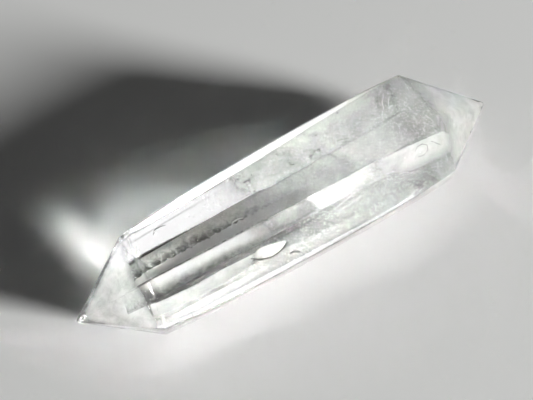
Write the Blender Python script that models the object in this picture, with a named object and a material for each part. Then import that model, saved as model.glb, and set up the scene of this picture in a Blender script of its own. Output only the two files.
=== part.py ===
"""Double terminated quartz point.

One polished crystal: a six-sided prism with a six-faced point at each end, lying on one of its prism faces.
+X runs along the crystal, -Y is its front and +Z is up. The origin is under the middle of its box, on the
resting face. Every length below is in millimetres.
"""
from collections import namedtuple

import bmesh
import bpy
from mathutils import Vector

MM = 0.001

# The two tips: how far each stands from the middle, how high it is, and how far it is off to the front.
LEFT_TIP = Vector((-38.2, -0.15, 7.5))
RIGHT_TIP = Vector((38.6, -0.3, 8.2))

# The six edges of the prism, in order round it. left and right are where the edge meets each point, as x, y
# and z. bulge is how far the edge bows outward, as y and z, halfway along: the prism has a gentle belly.
Edge = namedtuple("Edge", "left right bulge")
EDGES = (
    Edge(left=(-27.7, 4.0, 15.8), right=(23.5, 5.6, 18.3), bulge=(0.6, 0.6)),  # back top
    Edge(left=(-27.9, -4.5, 15.2), right=(22.5, -6.0, 17.5), bulge=(-0.3, 0.35)),  # front top
    Edge(left=(-28.0, -8.4, 7.7), right=(23.8, -9.9, 10.0), bulge=(-0.9, -0.3)),  # front middle
    Edge(left=(-26.7, -5.1, 0.0), right=(28.5, -5.6, 0.0), bulge=(-0.8, 0.0)),  # front foot
    Edge(left=(-27.2, 5.1, 0.0), right=(24.7, 6.1, 0.0), bulge=(0.4, 0.0)),  # back foot
    Edge(left=(-24.8, 8.8, 8.6), right=(24.4, 10.65, 10.7), bulge=(0.6, 0.5)),  # back middle
)
BACK_TOP, FRONT_TOP, FRONT_MIDDLE = 0, 1, 2

# One ridge of the right-hand point starts here, on the top face, a little behind the front top edge.
RIDGE_FOOT = Vector((23.7, -4.8, 17.65))

# The belly is flat in the middle and falls away towards the ends, in this many steps.
BELLY_POWER = 3
BELLY_STEPS = 24

# The worn edges left by polishing.
WORN_WIDTH = 0.16
WORN_STEPS = 2

# The chips: a scoop of this radius, sunk this deep below the edge that it breaks.
Chip = namedtuple("Chip", "name place outward radius depth")

GLASS_TINT = (0.93, 0.94, 0.95, 1.0)
GLASS_ROUGHNESS = 0.02
QUARTZ_IOR = 1.544


def clear_scene():
    for thing in list(bpy.data.objects):
        bpy.data.objects.remove(thing, do_unlink=True)


def quartz():
    material = bpy.data.materials.new("quartz")
    material.use_nodes = True
    shader = material.node_tree.nodes["Principled BSDF"]
    shader.inputs["Base Color"].default_value = GLASS_TINT
    shader.inputs["Roughness"].default_value = GLASS_ROUGHNESS
    shader.inputs["Transmission Weight"].default_value = 1.0
    shader.inputs["IOR"].default_value = QUARTZ_IOR
    return material


def along_edge(number, fraction):
    """The point at this fraction of one prism edge, bowed by the belly."""
    edge = EDGES[number]
    bow = 1.0 - abs(2.0 * fraction - 1.0) ** BELLY_POWER
    point = Vector(edge.left).lerp(Vector(edge.right), fraction)
    return point + Vector((0.0, *edge.bulge)) * bow


def prism_rings(mesh):
    rings = []
    for step in range(BELLY_STEPS + 1):
        fraction = step / BELLY_STEPS
        rings.append([mesh.verts.new(along_edge(number, fraction)) for number in range(len(EDGES))])
    return rings


def prism_faces(mesh, rings, ridge_foot):
    for ring, following in zip(rings, rings[1:]):
        for number in range(len(EDGES)):
            beside = (number + 1) % len(EDGES)
            corners = [ring[number], ring[beside], following[beside], following[number]]
            if following is rings[-1] and number == BACK_TOP:
                corners.insert(3, ridge_foot)
            mesh.faces.new(corners)


def point_faces(mesh, ring, tip, ridge_foot=None):
    """Closes one end with a face from each side of the ring to the tip."""
    for number in range(len(EDGES)):
        corners = [ring[number], ring[(number + 1) % len(EDGES)], tip]
        if ridge_foot and number == BACK_TOP:
            corners[1] = ridge_foot
        if ridge_foot and number == FRONT_TOP:
            corners.insert(0, ridge_foot)
        mesh.faces.new(corners)


def wear_edges(mesh, rings):
    """Rounds every real edge, and leaves alone the steps of the belly across each face."""
    across = set()
    for ring in rings[1:-1]:
        for number in range(len(EDGES)):
            across.add(frozenset((ring[number], ring[(number + 1) % len(EDGES)])))
    real = [edge for edge in mesh.edges if frozenset(edge.verts) not in across]
    bmesh.ops.bevel(
        mesh, geom=real, offset=WORN_WIDTH, segments=WORN_STEPS, profile=0.5, affect="EDGES", clamp_overlap=True
    )


def centre_over_origin(mesh):
    """Moves the crystal so that the middle of its box's bottom is the origin, and returns the move."""
    lows = [min(vert.co[axis] for vert in mesh.verts) for axis in range(3)]
    highs = [max(vert.co[axis] for vert in mesh.verts) for axis in range(3)]
    move = Vector((-(lows[0] + highs[0]) / 2, -(lows[1] + highs[1]) / 2, -lows[2]))
    bmesh.ops.translate(mesh, verts=mesh.verts, vec=move)
    return move


def make_crystal():
    """Makes the whole crystal, and returns it and how far it was moved to sit over the origin."""
    mesh = bmesh.new()
    rings = prism_rings(mesh)
    ridge_foot = mesh.verts.new(RIDGE_FOOT)
    prism_faces(mesh, rings, ridge_foot)
    point_faces(mesh, rings[0], mesh.verts.new(LEFT_TIP))
    point_faces(mesh, rings[-1], mesh.verts.new(RIGHT_TIP), ridge_foot)
    bmesh.ops.recalc_face_normals(mesh, faces=mesh.faces)
    wear_edges(mesh, rings)
    bmesh.ops.triangulate(mesh, faces=mesh.faces)
    move = centre_over_origin(mesh)
    bmesh.ops.scale(mesh, verts=mesh.verts, vec=(MM, MM, MM))
    data = bpy.data.meshes.new("quartz_point")
    mesh.to_mesh(data)
    mesh.free()
    crystal = bpy.data.objects.new("quartz_point", data)
    crystal.data.materials.append(quartz())
    bpy.context.collection.objects.link(crystal)
    return crystal, move


def chips():
    """The broken spots: three along the front edges near the left end, and one by the ridge foot."""
    left_front_top = along_edge(FRONT_TOP, 0.0)
    left_front_middle = along_edge(FRONT_MIDDLE, 0.0)
    return (
        Chip("edge_nick", along_edge(FRONT_TOP, 0.186), Vector((0.0, -0.5, 0.87)), 0.55, 0.20),
        Chip("lower_nick", along_edge(FRONT_MIDDLE, 0.036), Vector((0.0, -0.95, 0.3)), 0.60, 0.22),
        Chip("girdle_nick", left_front_top.lerp(left_front_middle, 0.36), Vector((-0.4, -0.8, 0.45)), 0.50, 0.14),
        Chip("corner_nick", along_edge(FRONT_TOP, 1.0), Vector((0.4, -0.4, 0.82)), 0.90, 0.30),
    )


def cut_chip(crystal, chip, move):
    scoop = bmesh.new()
    bmesh.ops.create_icosphere(scoop, subdivisions=2, radius=chip.radius * MM)
    data = bpy.data.meshes.new(chip.name)
    scoop.to_mesh(data)
    scoop.free()
    cutter = bpy.data.objects.new(chip.name, data)
    cutter.location = (chip.place + move + chip.outward.normalized() * (chip.radius - chip.depth)) * MM
    cutter.hide_render = True
    cutter.display_type = "WIRE"
    bpy.context.collection.objects.link(cutter)
    cut = crystal.modifiers.new(chip.name, "BOOLEAN")
    cut.operation = "DIFFERENCE"
    cut.object = cutter


def main():
    clear_scene()
    crystal, move = make_crystal()
    for chip in chips():
        cut_chip(crystal, chip, move)


main()
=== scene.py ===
"""Looks of the double terminated quartz point: clear crystal, inner flaws, pale floor, light and camera."""
import math
from collections import namedtuple

import bmesh
import bpy
import numpy as np
from mathutils import Matrix, Vector, noise
from mathutils.bvhtree import BVHTree


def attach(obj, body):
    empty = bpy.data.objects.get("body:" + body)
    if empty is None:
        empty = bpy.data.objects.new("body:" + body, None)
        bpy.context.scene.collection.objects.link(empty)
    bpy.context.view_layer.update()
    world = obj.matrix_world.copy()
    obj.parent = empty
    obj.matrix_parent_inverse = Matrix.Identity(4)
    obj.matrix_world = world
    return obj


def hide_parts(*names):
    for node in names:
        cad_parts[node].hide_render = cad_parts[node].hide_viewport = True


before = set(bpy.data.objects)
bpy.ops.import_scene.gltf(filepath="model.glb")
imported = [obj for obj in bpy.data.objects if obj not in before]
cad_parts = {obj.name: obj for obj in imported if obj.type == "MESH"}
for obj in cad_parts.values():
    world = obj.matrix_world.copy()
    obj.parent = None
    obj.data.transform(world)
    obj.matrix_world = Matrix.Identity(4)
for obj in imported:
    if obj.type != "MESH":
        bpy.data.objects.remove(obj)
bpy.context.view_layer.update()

# Lengths are in millimetres, but those of the lights and the floor's width are in metres.
MM = 0.001

# The camera: its angle round the crystal, its height above the horizon, its distance, how wide it sees, what
# it aims at and the size of the photo in pixels.
VIEW_AZIMUTH = math.radians(-33.3)
VIEW_ELEVATION = math.radians(53.0)
VIEW_DISTANCE = 155.0 * MM
VIEW_WIDTH = math.radians(30.0)
AIM = Vector((-3.7, 2.34, 8.4)) * MM
CLIP_START = 5.0 * MM
PHOTO_SIZE = (533.0, 400.0)

# The key light, a soft disk low on the front right, the faint sky, and where every light points.
KEY_AZIMUTH = math.radians(33.0)
KEY_ELEVATION = math.radians(16.0)
KEY_DISTANCE = 2.0
KEY_SIZE = 0.42
KEY_POWER = 89.0
SKY_STRENGTH = 0.05
LIGHT_TARGET = Vector((0.0, 0.0, 8.0)) * MM

# The dim panels that the facets mirror. They don't light the floor.
Panel = namedtuple("Panel", "name azimuth elevation distance width height radiance")
PANELS = (
    Panel("back_panel", math.radians(146.0), math.radians(40.0), 0.8, 0.80, 0.62, 1.0),
    Panel("front_panel", math.radians(30.0), math.radians(50.0), 0.8, 0.40, 0.40, 0.60),
    Panel("left_panel", math.radians(-85.0), math.radians(35.0), 0.8, 0.80, 0.60, 0.45),
)

# The floor: it lies a little below the crystal, so that the two surfaces don't fall together.
FLOOR_COLOUR = (0.78, 0.785, 0.77, 1.0)
FLOOR_SIZE = 3.0
FLOOR_DROP = 0.05
FLOOR_ROUGHNESS = 0.9
FLOOR_SHINE = 0.2

QUARTZ_IOR = 1.544

# Faces that meet at less than this are one bowed face.
SHARP_ANGLE = math.radians(6.0)

# Corners nearer to each other than this are one corner.
SAME_PLACE = 0.001

# The inner flaws are matt. Wisps are how fine the mottling of a sheet is, the range of it that shows, and how
# dense the sheet is.
MATT_ROUGHNESS = 0.8
Wisps = namedtuple("Wisps", "scale low high density")
WISP_DETAIL = 8.0
WISP_ROUGHNESS = 0.65
WISP_DISTORTION = 0.6

# The veils and the grains come no nearer to the surface than the skin, and the veils thin out over this far
# below it.
SKIN = 0.25
SKIN_FADE = 1.2

# How fine the waves of a wavy sheet are, and how many cells the finer sheets have each way.
WAVE_SCALE = 3.0
FINE_GRID = 60

# The cloudy veils that fill the thick end: wavy sheets that lie at every angle, most of them right of the
# middle.
VEIL_SEED = 5
VEIL_COUNT = 26
VEIL_SIZE = (9.0, 17.0)
VEIL_START = -9.0
VEIL_END = 34.0
VEIL_CROWDING = 0.75
VEIL_BREADTH = (-5.0, 5.0)
VEIL_HEIGHT = (3.0, 14.0)
VEIL_WAVE = 1.2
# Most veils face this way, more or less.
VEIL_FACING = (0.0, -1.5, 0.8)
VEIL_GRID = 22
# This pale colour is also the painted light of the cream sheet and the pale sheet at the thick end, below the
# front upper face.
VEIL_AND_PAINTED_LIGHT_COLOUR = (0.92, 0.93, 0.92, 1.0)
VEIL_WISPS = Wisps(450.0, 0.15, 0.90, 0.30)

# The milky veil just inside the back lower face of the thick end: one corner, its two sides, how fast it
# thickens from its rim, how thick it gets, and how far it fades in from its first corner.
BACK_VEIL_CORNER = (-9.0, 5.0, 0.4)
BACK_VEIL_ALONG = (36.0, 0.4, 0.0)
BACK_VEIL_ACROSS = (0.0, 4.0, 9.4)
BACK_VEIL_COLOUR = (0.48, 0.485, 0.47, 1.0)
BACK_VEIL_WISPS = Wisps(330.0, 0.20, 0.55, 0.9)
BACK_VEIL_WAVE = 0.3
BACK_VEIL_GAIN = 8.0
BACK_VEIL_THICKNESS = 2.2
BACK_VEIL_FADE = 9.0

# The milky layer just inside the facets of the thick end's point: its size beside the stone's, where it
# starts and is at its fullest, and the height of the middle that it shrinks to.
MILKY_SIZE = 0.94
MILKY_START = 21.0
MILKY_FULL = 27.0
MILKY_HEIGHT = 8.5
MILKY_WISPS = Wisps(400.0, -0.20, 0.60, 0.70)
MILKY_COLOUR = (0.72, 0.73, 0.71, 1.0)

# The milky planes that slope up to the back, one through each end: where they begin and end along the
# stone, how far they fade in towards the middle, and how dense they are at the front foot and from the rise
# up.
MilkyPlane = namedtuple("MilkyPlane", "name start end fade low_density high_density")
MILKY_PLANES = (
    MilkyPlane("milky_plane_left", -38.0, -25.5, 2.0, 0.60, 0.60),
    MilkyPlane("milky_plane_right", 34.0, -12.0, 16.0, 0.13, 0.20),
)
PLANE_FOOT = (-6.6, 0.6)
PLANE_ACROSS = (0.0, 14.5, 15.7)
PLANE_RISE = 6.0
PLANE_WAVE = 0.5
PLANE_WISPS = Wisps(600.0, -0.30, 0.65, 1.0)

# The thin veil along the back middle edge: its corner and sides, how fast it thickens from its rim, how
# thick it gets, and how far it fades out at the thick end.
EDGE_VEIL_CORNER = (-25.0, 7.1, 6.0)
EDGE_VEIL_ALONG = (54.0, 2.0, 2.3)
EDGE_VEIL_ACROSS = (0.0, 0.5, 4.6)
EDGE_VEIL_COLOUR = (0.95, 0.95, 0.92, 1.0)
EDGE_VEIL_WISPS = Wisps(300.0, 0.0, 0.40, 1.0)
EDGE_VEIL_WAVE = 0.1
EDGE_VEIL_GAIN = 40.0
EDGE_VEIL_THICKNESS = 6.0
EDGE_VEIL_FADE = 9.0

# The painted shade low in the back of the thin end: a dark veil that stands in for the shaded floor under
# the stone, seen through it. Its front and back edges as y and z, its ends, the waves of its ragged front
# edge, each as how many there are along it and how deep they are, and how far apart they are drawn from the
# noise.
PAINTED_SHADE_FRONT = (1.97, 2.0)
PAINTED_SHADE_BACK = (5.12, 3.6)
PAINTED_SHADE_ENDS = (-27.5, 9.0)
PAINTED_SHADE_RAGS = ((60.0, 0.10), (160.0, 0.06))
PAINTED_SHADE_ROW = 3.0
PAINTED_SHADE_GRID = (180, 16)
# The colour of the painted shade, which the dark streak below the front upper face shares.
PAINTED_SHADE_COLOUR = (0.07, 0.07, 0.06, 1.0)
PAINTED_SHADE_WISPS = Wisps(900.0, 0.20, 0.58, 1.0)
# How suddenly it thickens towards its front edge, and thins out towards the thick end.
PAINTED_SHADE_SWELL = 1.3
PAINTED_SHADE_DWINDLE = 1.5

# The fine grains that make the thick end sparkle: how big they are, how they crowd towards that end, and the
# box that they fill.
FLECK_COLOUR = (0.95, 0.95, 0.94, 1.0)
FLECK_SEED = 7
FLECK_SIZE = 0.07
FLECK_SMALLEST = 0.4
FLECK_COUNT = 9000
FLECK_CROWDING = (2.2, 1.3)
FLECK_BOX = ((-17.0, 38.0), (-10.0, 10.0), (0.0, 18.0))

# The cracks and marks, each placed by the pixels of the photo along it, how deep it lies and how wide it is.
Thread = namedtuple("Thread", "pixels depth width")
MARK_COLOUR = (0.02, 0.02, 0.018, 1.0)
CRACK_COLOUR = (0.97, 0.97, 0.96, 1.0)
DARK_THREADS = (
    Thread(
        ((288, 242), (285, 247), (277, 254), (271, 257.5), (265, 259), (258, 259.5), (251, 258.5)), 0.4, 0.36
    ),
    Thread(((290, 254), (294, 251.5), (300, 252.5)), 1.0, 0.40),
    Thread(((336, 141), (342, 139.5), (349, 138)), 1.5, 0.12),
    Thread(((415, 152), (417, 147), (422, 144), (427, 145), (428, 150), (424, 155), (418, 157)), 0.8, 0.10),
    Thread(((418, 142), (422, 139), (428, 138)), 0.8, 0.09),
    Thread(((431, 141), (436, 143), (441, 145)), 0.8, 0.08),
    Thread(((470, 131.5), (471, 132.5)), 0.8, 0.30),
    Thread(((455.5, 144), (456.5, 145)), 0.8, 0.25),
    Thread(((336.5, 112.5), (338, 113.5)), 1.0, 0.30),
    Thread(((177, 312), (178, 318)), 0.9, 0.14),
    Thread(((191, 311), (193, 316)), 0.9, 0.14),
)
PALE_THREADS = (
    Thread(((231, 228), (233, 222), (238, 219), (243, 218)), 1.4, 0.20),
    Thread(((336, 208), (346, 200), (354, 193), (365, 186)), 1.6, 0.07),
    Thread(((340, 210), (352, 203), (362, 195)), 1.9, 0.05),
    Thread(((384, 95), (382, 102), (384, 110)), 1.4, 0.06),
    Thread(((389, 97), (388, 104), (390, 109)), 1.6, 0.05),
    Thread(((307, 157.5), (309, 158.5)), 1.2, 0.35),
    Thread(((316, 151.5), (318, 152.5)), 1.2, 0.30),
)
# The sheets just below the front upper face: a curved crack, and three sheets of painted light and shade. The
# dark streak is painted shade for the shaded floor seen through the stone, and the cream sheet and the pale
# sheet at the thick end are painted light for the lit floor seen through it. Each is a sheet between a sharp
# rim and the line where it fades out, both given by the pixels of the photo along them. With a small evenness
# it thins out soon after its rim. fade_in and fade_out are how many points it takes to fade at its left and
# its right end.
Sheet = namedtuple("Sheet", "name colour wisps depth evenness fade_in fade_out rim fade")
SHEETS = (
    Sheet(
        "curved_crack", CRACK_COLOUR, Wisps(500.0, 0.10, 0.50, 1.0), 0.45, 1.5, 2, 0,
        ((251, 257.5), (258, 258.5), (265, 258), (272, 256), (278, 252), (283, 247), (286, 242)),
        ((250, 249), (256, 245.5), (263, 243), (269, 241.5), (275, 240.5), (280, 240), (285, 240)),
    ),
    # Painted shade: a dark sheet for the shaded floor seen through the stone.
    Sheet(
        "painted_shade_streak", PAINTED_SHADE_COLOUR, Wisps(900.0, 0.25, 0.60, 0.9), 0.6, 0.7, 0, 3,
        (
            (128, 314.5), (150, 304), (168, 297), (194, 284.5),
            (222, 268.5), (243, 258), (265, 247), (288, 236),
        ),
        ((123, 300), (145, 289), (163, 281), (190, 268), (218, 253), (240, 242), (263, 233), (287, 226)),
    ),
    # Painted light: a pale sheet for the lit floor seen through the stone.
    Sheet(
        "painted_light_cream", VEIL_AND_PAINTED_LIGHT_COLOUR, Wisps(250.0, -0.10, 0.65, 0.62), 0.5, 1.5, 0, 3,
        ((150, 305), (168, 298), (194, 285.5), (222, 269.5), (243, 259), (265, 248), (288, 237), (314, 223)),
        ((156, 323), (175, 317), (200, 305), (226, 290), (250, 277), (275, 264), (300, 250), (325, 236)),
    ),
    # Painted light: a pale sheet for the bright lit floor seen through the face at the thick end.
    Sheet(
        "painted_sheen", VEIL_AND_PAINTED_LIGHT_COLOUR, Wisps(300.0, -0.20, 0.60, 0.75), 1.0, 2.5, 3, 0,
        ((345, 178), (370, 165), (395, 152.5), (420, 141), (441, 131.5), (450, 134)),
        ((354, 206), (381, 194), (407, 181), (431, 169), (449, 159), (453, 156)),
    ),
)
SHEET_STEPS = 8
# The threads of the cracks and marks, and how thin they are at their ends beside their middle.
THREAD_SIDES = 5
THREAD_TAPER = 0.35


def direction(azimuth, elevation):
    """The unit vector from the crystal to something seen at this angle round it and above the horizon."""
    flat = math.cos(elevation)
    return Vector((math.sin(azimuth) * flat, -math.cos(azimuth) * flat, math.sin(elevation)))


def point_at(thing, target):
    thing.rotation_euler = (target - thing.location).to_track_quat("-Z", "Y").to_euler()


def add_camera():
    data = bpy.data.cameras.new("camera")
    data.angle = VIEW_WIDTH
    data.clip_start = CLIP_START
    camera = bpy.data.objects.new("camera", data)
    camera.location = AIM + direction(VIEW_AZIMUTH, VIEW_ELEVATION) * VIEW_DISTANCE
    bpy.context.collection.objects.link(camera)
    point_at(camera, AIM)
    bpy.context.scene.camera = camera


def add_panel(panel):
    data = bpy.data.lights.new(panel.name, "AREA")
    data.shape = "RECTANGLE"
    data.size = panel.width
    data.size_y = panel.height
    data.energy = panel.radiance * math.pi * panel.width * panel.height
    light = bpy.data.objects.new(panel.name, data)
    light.location = direction(panel.azimuth, panel.elevation) * panel.distance
    light.visible_diffuse = False
    bpy.context.collection.objects.link(light)
    point_at(light, LIGHT_TARGET)


def add_lights():
    data = bpy.data.lights.new("key", "AREA")
    data.shape = "DISK"
    data.size = KEY_SIZE
    data.energy = KEY_POWER
    key = bpy.data.objects.new("key", data)
    key.location = direction(KEY_AZIMUTH, KEY_ELEVATION) * KEY_DISTANCE
    bpy.context.collection.objects.link(key)
    point_at(key, LIGHT_TARGET)
    for panel in PANELS:
        add_panel(panel)
    world = bpy.data.worlds.new("sky")
    world.use_nodes = True
    sky = world.node_tree.nodes["Background"]
    sky.inputs["Color"].default_value = (1.0, 1.0, 1.0, 1.0)
    sky.inputs["Strength"].default_value = SKY_STRENGTH
    bpy.context.scene.world = world


def add_floor():
    material = bpy.data.materials.new("floor")
    material.use_nodes = True
    shader = material.node_tree.nodes["Principled BSDF"]
    shader.inputs["Base Color"].default_value = FLOOR_COLOUR
    shader.inputs["Roughness"].default_value = FLOOR_ROUGHNESS
    shader.inputs["Specular IOR Level"].default_value = FLOOR_SHINE
    bpy.ops.mesh.primitive_plane_add(size=FLOOR_SIZE, location=(0.0, 0.0, -FLOOR_DROP * MM))
    floor = bpy.context.object
    floor.name = "floor"
    floor.data.materials.append(material)


def quartz():
    material = bpy.data.materials.new("clear_quartz")
    material.use_nodes = True
    nodes = material.node_tree.nodes
    shader = nodes["Principled BSDF"]
    shader.inputs["Base Color"].default_value = (1.0, 1.0, 1.0, 1.0)
    shader.inputs["Roughness"].default_value = 0.0
    shader.inputs["IOR"].default_value = QUARTZ_IOR
    shader.inputs["Transmission Weight"].default_value = 1.0
    return material


def polished_crystal():
    """The crystal with the shape of its solid, shaded smooth along its gently bowed faces."""
    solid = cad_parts["quartz_point"]
    shape = bmesh.new()
    shape.from_mesh(solid.data)
    bmesh.ops.remove_doubles(shape, verts=shape.verts, dist=SAME_PLACE * MM)
    mesh = bpy.data.meshes.new("polished_crystal")
    shape.to_mesh(mesh)
    shape.free()
    mesh.materials.append(quartz())
    mesh.shade_smooth()
    mesh.set_sharp_from_angle(angle=SHARP_ANGLE)
    crystal = bpy.data.objects.new("polished_crystal", mesh)
    bpy.context.collection.objects.link(crystal)
    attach(crystal, "root")
    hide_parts("quartz_point")
    return crystal


def surface_of(thing):
    corners = [vert.co for vert in thing.data.vertices]
    return BVHTree.FromPolygons(corners, [face.vertices for face in thing.data.polygons])


def depth_below(surface, point):
    """How deep a point lies below the nearest face of the stone, in millimetres. It is negative outside."""
    nearest, outward, _, distance = surface.find_nearest(point)
    return math.copysign(distance, outward.dot(nearest - point)) / MM


def alpha_by_wisps(material, wisps):
    """Lets the shader's opacity follow fine wisps, and the thickness stored in the sheet."""
    nodes, links = material.node_tree.nodes, material.node_tree.links
    place = nodes.new("ShaderNodeTexCoord")
    mottling = nodes.new("ShaderNodeTexNoise")
    mottling.inputs["Scale"].default_value = wisps.scale
    mottling.inputs["Detail"].default_value = WISP_DETAIL
    mottling.inputs["Roughness"].default_value = WISP_ROUGHNESS
    mottling.inputs["Distortion"].default_value = WISP_DISTORTION
    amount = nodes.new("ShaderNodeMapRange")
    amount.inputs["From Min"].default_value = wisps.low
    amount.inputs["From Max"].default_value = wisps.high
    amount.inputs["To Max"].default_value = wisps.density
    thickness = nodes.new("ShaderNodeAttribute")
    thickness.attribute_name = "thickness"
    fade = nodes.new("ShaderNodeMath")
    fade.operation = "MULTIPLY"
    fade.use_clamp = True
    links.new(place.outputs["Object"], mottling.inputs["Vector"])
    links.new(mottling.outputs["Fac"], amount.inputs["Value"])
    links.new(amount.outputs["Result"], fade.inputs[0])
    links.new(thickness.outputs["Fac"], fade.inputs[1])
    links.new(fade.outputs["Value"], nodes["Principled BSDF"].inputs["Alpha"])


def matt(name, colour):
    material = bpy.data.materials.new(name)
    material.use_nodes = True
    shader = material.node_tree.nodes["Principled BSDF"]
    shader.inputs["Base Color"].default_value = colour
    shader.inputs["Roughness"].default_value = MATT_ROUGHNESS
    shader.inputs["Specular IOR Level"].default_value = 0.0
    return material


def add_inner(name, shape, material, thickness=None):
    """Makes a piece from this shape inside the stone, with the thickness of each of its points."""
    mesh = bpy.data.meshes.new(name)
    shape.to_mesh(mesh)
    shape.free()
    if thickness is not None:
        mesh.attributes.new("thickness", "FLOAT", "POINT").data.foreach_set("value", thickness)
    mesh.materials.append(material)
    piece = bpy.data.objects.new(name, mesh)
    bpy.context.collection.objects.link(piece)
    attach(piece, "root")


def grid_between(corner, along, across, wave, steps):
    """A wavy sheet, and how far each of its points is from the rim, from 0 at the rim to 1 in the middle."""
    sheet = bmesh.new()
    bmesh.ops.create_grid(sheet, x_segments=steps, y_segments=steps, size=0.5)
    upright = along.cross(across).normalized()
    rims = []
    for vert in sheet.verts:
        u, v = vert.co.x + 0.5, vert.co.y + 0.5
        rims.append(16.0 * u * (1.0 - u) * v * (1.0 - v))
        lift = noise.noise(Vector((u * WAVE_SCALE, v * WAVE_SCALE, corner.x / MM))) * wave
        vert.co = corner + along * u + across * v + upright * lift
    return sheet, rims


def trim_to_stone(sheet, rims, surface):
    """Takes off what sticks out of the stone, and returns the thickness of what is left."""
    depths = [depth_below(surface, vert.co) for vert in sheet.verts]
    outside = [vert for vert, depth in zip(sheet.verts, depths) if depth < SKIN]
    inside = [(rim, depth) for rim, depth in zip(rims, depths) if depth >= SKIN]
    thickness = [rim * min(1.0, (depth - SKIN) / SKIN_FADE) for rim, depth in inside]
    bmesh.ops.delete(sheet, geom=outside, context="VERTS")
    return thickness


def sight(pixel):
    """The camera's place, and the direction in which it sees this pixel of the photo."""
    focal = PHOTO_SIZE[0] / 2.0 / math.tan(VIEW_WIDTH / 2.0)
    back = direction(VIEW_AZIMUTH, VIEW_ELEVATION)
    right = Vector((math.cos(VIEW_AZIMUTH), math.sin(VIEW_AZIMUTH), 0.0))
    across = right * ((pixel[0] - PHOTO_SIZE[0] / 2.0) / focal)
    upward = back.cross(right) * ((PHOTO_SIZE[1] / 2.0 - pixel[1]) / focal)
    return AIM + back * VIEW_DISTANCE, (across + upward - back).normalized()


def beneath(surface, pixel, depth):
    """The point this deep inside the stone, along the bent ray, that shows at this pixel of the photo."""
    eye, ray = sight(pixel)
    place, outward, _, _ = surface.ray_cast(eye, ray)
    slope = -ray.dot(outward)
    inner_slope = math.sqrt(1.0 - (1.0 - slope ** 2) / QUARTZ_IOR ** 2)
    return place + (ray / QUARTZ_IOR + outward * (slope / QUARTZ_IOR - inner_slope)) * depth * MM


def thread(shape, points, width):
    """Adds a thin round thread through these points, which tapers at both ends."""
    rings = []
    for number, point in enumerate(points):
        onward = (points[min(number + 1, len(points) - 1)] - points[max(number - 1, 0)]).normalized()
        side = onward.orthogonal().normalized()
        taper = THREAD_TAPER + (1.0 - THREAD_TAPER) * math.sin(math.pi * (number + 0.5) / len(points))
        turns = [Matrix.Rotation(math.tau * turn / THREAD_SIDES, 3, onward) for turn in range(THREAD_SIDES)]
        rings.append([shape.verts.new(point + turn @ side * width * taper * MM / 2.0) for turn in turns])
    for ring, following in zip(rings, rings[1:]):
        for turn in range(THREAD_SIDES):
            beside = (turn + 1) % THREAD_SIDES
            shape.faces.new((ring[turn], ring[beside], following[beside], following[turn]))
    shape.faces.new(rings[0])
    shape.faces.new(rings[-1])


def add_threads(surface, name, threads, colour):
    shape = bmesh.new()
    for one in threads:
        thread(shape, [beneath(surface, pixel, one.depth) for pixel in one.pixels], one.width)
    add_inner(name, shape, matt(name, colour))


def marks(surface):
    # Some of the sheets below the front upper face are painted shade and painted light.
    add_threads(surface, "dark_marks", DARK_THREADS, MARK_COLOUR)
    add_threads(surface, "pale_marks", PALE_THREADS, VEIL_AND_PAINTED_LIGHT_COLOUR)
    for sheet in SHEETS:
        shallow_sheet(surface, sheet)


def shallow_sheet(surface, sheet):
    """Adds one of the sheets that follow two lines of the photo's pixels, thick at its rim."""
    material = matt(sheet.name, sheet.colour)
    alpha_by_wisps(material, sheet.wisps)
    lengthwise = []
    for number in range(len(sheet.rim)):
        start = min(1.0, number / sheet.fade_in) if sheet.fade_in else 1.0
        end = min(1.0, (len(sheet.rim) - 1 - number) / sheet.fade_out) if sheet.fade_out else 1.0
        lengthwise.append(start * end)
    shape = bmesh.new()
    rows, thickness = [], []
    for step in range(SHEET_STEPS + 1):
        share = step / SHEET_STEPS
        pixels = [Vector(sharp).lerp(Vector(faint), share) for sharp, faint in zip(sheet.rim, sheet.fade)]
        rows.append([shape.verts.new(beneath(surface, pixel, sheet.depth)) for pixel in pixels])
        thickness += [(1.0 - share ** sheet.evenness) * part for part in lengthwise]
    for row, following in zip(rows, rows[1:]):
        for number in range(len(row) - 1):
            shape.faces.new((row[number], row[number + 1], following[number + 1], following[number]))
    add_inner(sheet.name, shape, material, thickness)


def veils(surface):
    material = matt("veil", VEIL_AND_PAINTED_LIGHT_COLOUR)
    alpha_by_wisps(material, VEIL_WISPS)
    draw = np.random.default_rng(VEIL_SEED)
    for number in range(VEIL_COUNT):
        share = ((number + 0.5) / VEIL_COUNT) ** VEIL_CROWDING
        x = VEIL_START + (VEIL_END - VEIL_START) * share
        middle = Vector((x, draw.uniform(*VEIL_BREADTH), draw.uniform(*VEIL_HEIGHT)))
        facing = Vector(VEIL_FACING) + Vector(draw.normal(0.0, 1.0, 3))
        along = facing.orthogonal().normalized()
        across = facing.cross(along).normalized()
        along *= draw.uniform(*VEIL_SIZE)
        across *= draw.uniform(*VEIL_SIZE)
        corner = middle - (along + across) / 2.0
        sheet, rims = grid_between(corner * MM, along * MM, across * MM, VEIL_WAVE * MM, VEIL_GRID)
        thickness = trim_to_stone(sheet, rims, surface)
        if len(sheet.faces) == 0:
            sheet.free()
            continue
        add_inner(f"veil_{number + 1}", sheet, material, thickness)


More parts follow.
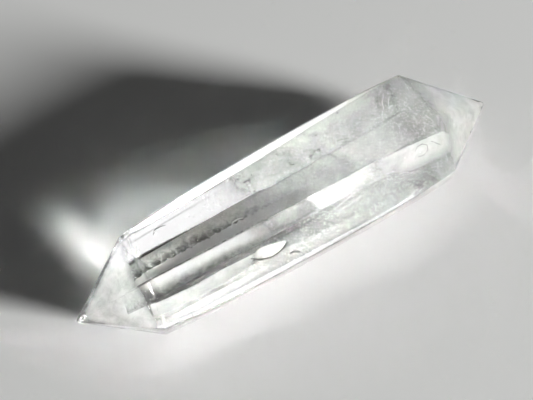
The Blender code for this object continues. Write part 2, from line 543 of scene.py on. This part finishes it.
def milky_point(crystal):
    """A milky layer just inside the facets of the thick end's point, which fades out towards the prism."""
    layer = bmesh.new()
    layer.from_mesh(crystal.data)
    middle = Vector((MILKY_START, 0.0, MILKY_HEIGHT)) * MM
    for vert in layer.verts:
        vert.co = middle.lerp(vert.co, MILKY_SIZE)
    outward = Vector((1.0, 0.0, 0.0))
    everything = layer.verts[:] + layer.edges[:] + layer.faces[:]
    bmesh.ops.bisect_plane(layer, geom=everything, plane_co=middle, plane_no=outward, clear_inner=True)
    everything = layer.verts[:] + layer.edges[:] + layer.faces[:]
    full = Vector((MILKY_FULL, 0.0, 0.0)) * MM
    bmesh.ops.bisect_plane(layer, geom=everything, plane_co=full, plane_no=outward)
    reach = MILKY_FULL - MILKY_START
    thickness = [max(0.0, min(1.0, (vert.co.x / MM - MILKY_START) / reach)) for vert in layer.verts]
    material = matt("milky", MILKY_COLOUR)
    alpha_by_wisps(material, MILKY_WISPS)
    add_inner("milky_point", layer, material, thickness)


def milky_planes(surface):
    material = matt("milky_plane", VEIL_AND_PAINTED_LIGHT_COLOUR)
    alpha_by_wisps(material, PLANE_WISPS)
    for plane in MILKY_PLANES:
        corner = Vector((plane.start, *PLANE_FOOT)) * MM
        along = Vector((plane.end - plane.start, 0.0, 0.0)) * MM
        sheet, _ = grid_between(corner, along, Vector(PLANE_ACROSS) * MM, PLANE_WAVE * MM, FINE_GRID)
        densities = []
        for vert in sheet.verts:
            fade = min(1.0, abs(plane.end - vert.co.x / MM) / plane.fade)
            height = min(1.0, (vert.co.z / MM - PLANE_FOOT[1]) / PLANE_RISE)
            densities.append(fade * (plane.low_density + (plane.high_density - plane.low_density) * height))
        add_inner(plane.name, sheet, material, trim_to_stone(sheet, densities, surface))


def edge_veil(surface):
    corner = Vector(EDGE_VEIL_CORNER) * MM
    along = Vector(EDGE_VEIL_ALONG) * MM
    across = Vector(EDGE_VEIL_ACROSS) * MM
    sheet, rims = grid_between(corner, along, across, EDGE_VEIL_WAVE * MM, FINE_GRID)
    end = (corner + along).x
    fades = [min(1.0, (end - vert.co.x) / (EDGE_VEIL_FADE * MM)) for vert in sheet.verts]
    swells = [min(EDGE_VEIL_THICKNESS, EDGE_VEIL_GAIN * rim) for rim in rims]
    thickness = trim_to_stone(sheet, [fade * swell for fade, swell in zip(fades, swells)], surface)
    material = matt("edge_veil", EDGE_VEIL_COLOUR)
    alpha_by_wisps(material, EDGE_VEIL_WISPS)
    add_inner("edge_veil", sheet, material, thickness)


def back_veil(surface):
    material = matt("back_veil", BACK_VEIL_COLOUR)
    alpha_by_wisps(material, BACK_VEIL_WISPS)
    corner = Vector(BACK_VEIL_CORNER) * MM
    along = Vector(BACK_VEIL_ALONG) * MM
    across = Vector(BACK_VEIL_ACROSS) * MM
    sheet, rims = grid_between(corner, along, across, BACK_VEIL_WAVE * MM, FINE_GRID)
    fades = [min(1.0, (vert.co - corner).length / (BACK_VEIL_FADE * MM)) for vert in sheet.verts]
    swells = [min(BACK_VEIL_THICKNESS, BACK_VEIL_GAIN * rim) for rim in rims]
    thickness = trim_to_stone(sheet, [fade * swell for fade, swell in zip(fades, swells)], surface)
    add_inner("back_veil", sheet, material, thickness)


def raggedness(share):
    """How far the front edge of the painted shade reaches out, at this share of its length."""
    reach = 0.0
    for row, (count, deep) in enumerate(PAINTED_SHADE_RAGS):
        reach += noise.noise(Vector((share * count, row * PAINTED_SHADE_ROW, 0.0))) * deep
    return reach


def painted_shade_veil(surface):
    """The dark speckled band of painted shade, for the shaded floor seen through the stone: it thickens
    towards its ragged front edge, and thins out to the right.
    """
    material = matt("painted_shade", PAINTED_SHADE_COLOUR)
    alpha_by_wisps(material, PAINTED_SHADE_WISPS)
    sheet = bmesh.new()
    bmesh.ops.create_grid(sheet, x_segments=PAINTED_SHADE_GRID[0], y_segments=PAINTED_SHADE_GRID[1], size=0.5)
    rims = []
    for vert in sheet.verts:
        u, v = vert.co.x + 0.5, vert.co.y + 0.5
        forward = v * (1.0 + raggedness(u))
        x = PAINTED_SHADE_ENDS[0] + (PAINTED_SHADE_ENDS[1] - PAINTED_SHADE_ENDS[0]) * u
        y = PAINTED_SHADE_BACK[0] + (PAINTED_SHADE_FRONT[0] - PAINTED_SHADE_BACK[0]) * forward
        z = PAINTED_SHADE_BACK[1] + (PAINTED_SHADE_FRONT[1] - PAINTED_SHADE_BACK[1]) * forward
        vert.co = Vector((x, y, z)) * MM
        rims.append(v ** PAINTED_SHADE_SWELL * (1.0 - u ** PAINTED_SHADE_DWINDLE))
    thickness = trim_to_stone(sheet, rims, surface)
    add_inner("painted_shade_veil", sheet, material, thickness)


def flecks(surface):
    """Tiny four-sided grains strewn through the thick end."""
    draw = np.random.default_rng(FLECK_SEED)
    corners = [Vector(corner) for corner in ((1, 1, 1), (1, -1, -1), (-1, 1, -1), (-1, -1, 1))]
    share = draw.beta(*FLECK_CROWDING, FLECK_COUNT)
    ends, breadth, height = FLECK_BOX
    places = np.column_stack((
        ends[0] + (ends[1] - ends[0]) * share,
        draw.uniform(*breadth, FLECK_COUNT),
        draw.uniform(*height, FLECK_COUNT),
    )) * MM
    cloud = bmesh.new()
    for middle in places:
        if depth_below(surface, Vector(middle)) < SKIN:
            continue
        size = FLECK_SIZE * draw.uniform(FLECK_SMALLEST, 1.0) ** 2 * MM
        spin = Matrix.Rotation(draw.uniform(0.0, math.tau), 3, Vector(draw.normal(0.0, 1.0, 3)))
        grain = [cloud.verts.new(Vector(middle) + spin @ corner * size) for corner in corners]
        for face in ((0, 1, 2), (0, 3, 1), (0, 2, 3), (1, 3, 2)):
            cloud.faces.new([grain[number] for number in face])
    add_inner("flecks", cloud, matt("fleck", FLECK_COLOUR))


def set_colour_and_bounces():
    scene = bpy.context.scene
    scene.view_settings.view_transform = "Standard"
    scene.cycles.max_bounces = 24
    scene.cycles.transparent_max_bounces = 64
    scene.cycles.transmission_bounces = 24
    scene.cycles.glossy_bounces = 12
    scene.cycles.sample_clamp_indirect = 0.0
    scene.cycles.blur_glossy = 0.0


add_camera()
add_lights()
add_floor()
crystal = polished_crystal()
surface = surface_of(crystal)
veils(surface)
milky_point(crystal)
milky_planes(surface)
edge_veil(surface)
back_veil(surface)
marks(surface)
painted_shade_veil(surface)
flecks(surface)
set_colour_and_bounces()
